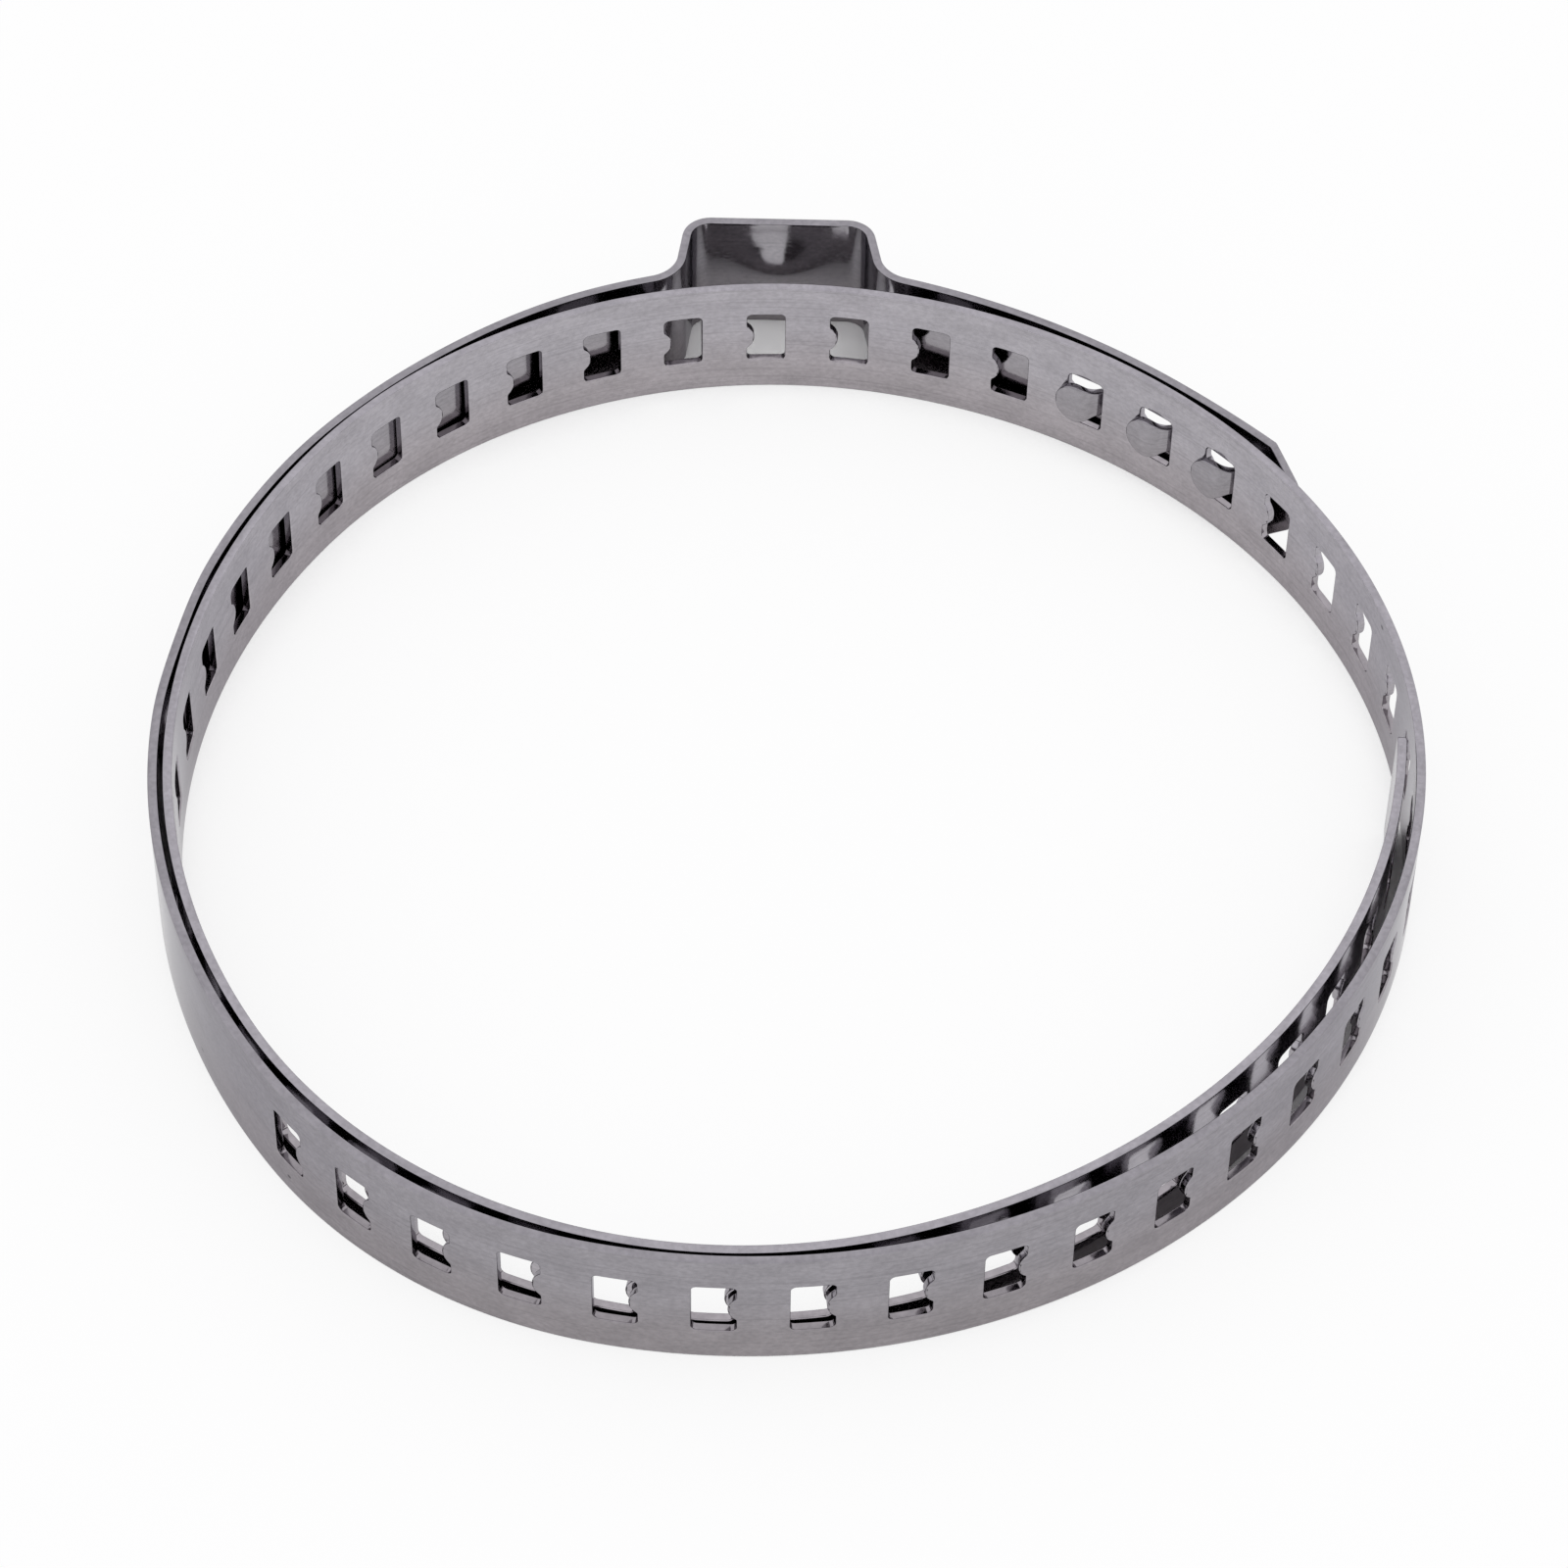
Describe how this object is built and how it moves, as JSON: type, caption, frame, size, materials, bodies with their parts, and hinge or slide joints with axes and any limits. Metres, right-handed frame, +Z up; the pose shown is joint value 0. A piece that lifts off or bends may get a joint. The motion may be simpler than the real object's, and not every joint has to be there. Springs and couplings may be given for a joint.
{
  "type": "boot clamp",
  "caption": "Adjustable ear clamp for a driveshaft boot: one flat steel band wound nearly twice round, with a row of windows, pressed hooks and a crimping ear.",
  "frame": {"origin": "middle of the footprint, on the surface that the lower edge of the band rests on", "axes": "+Z up along the band's width, which is also the axis of the boot it grips; +Y out through the crest of the ear; +X to the right of the ear seen from above"},
  "size_m": [0.0802, 0.0908, 0.009],
  "materials": {
    "band_steel": "bright rolled stainless spring band, finely brushed lengthwise"
  },
  "bodies": {
    "root": {"clamp_band": "band_steel"}
  },
  "joints": []
}
